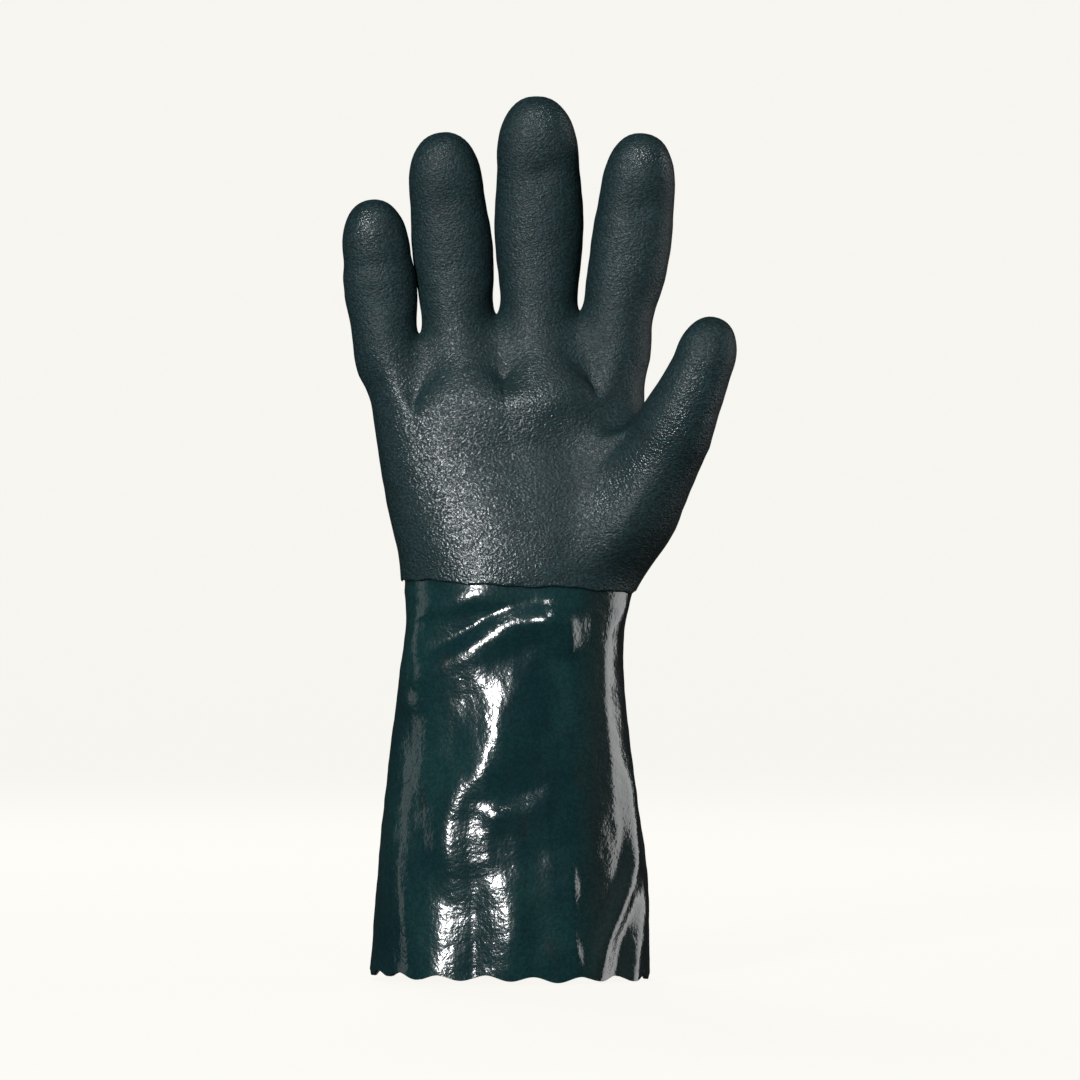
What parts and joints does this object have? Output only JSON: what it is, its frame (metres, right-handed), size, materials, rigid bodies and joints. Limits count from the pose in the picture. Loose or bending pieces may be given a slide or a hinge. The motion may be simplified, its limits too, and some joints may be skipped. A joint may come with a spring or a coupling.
{
  "type": "work glove",
  "caption": "Dipped PVC work glove for a right hand: rough grip coat over palm, thumb and fingers, long smooth gauntlet with soft folds, flaring to a finely scalloped hem.",
  "frame": {"origin": "middle of the cuff's mouth, at the mean height of its scalloped hem", "axes": "+Z from the hem towards the fingertips, +X towards the thumb's side, -Y the way the palm faces"},
  "size_m": [0.1583, 0.0914, 0.356],
  "materials": {
    "smooth_pvc": "glossy dark teal PVC with soft folds, cotton knit bonded to its inner face",
    "grip_pvc": "granular satin dark teal PVC, rough to the touch"
  },
  "bodies": {
    "root": {"base_shell": "smooth_pvc", "grip_coat": "grip_pvc"}
  },
  "joints": []
}
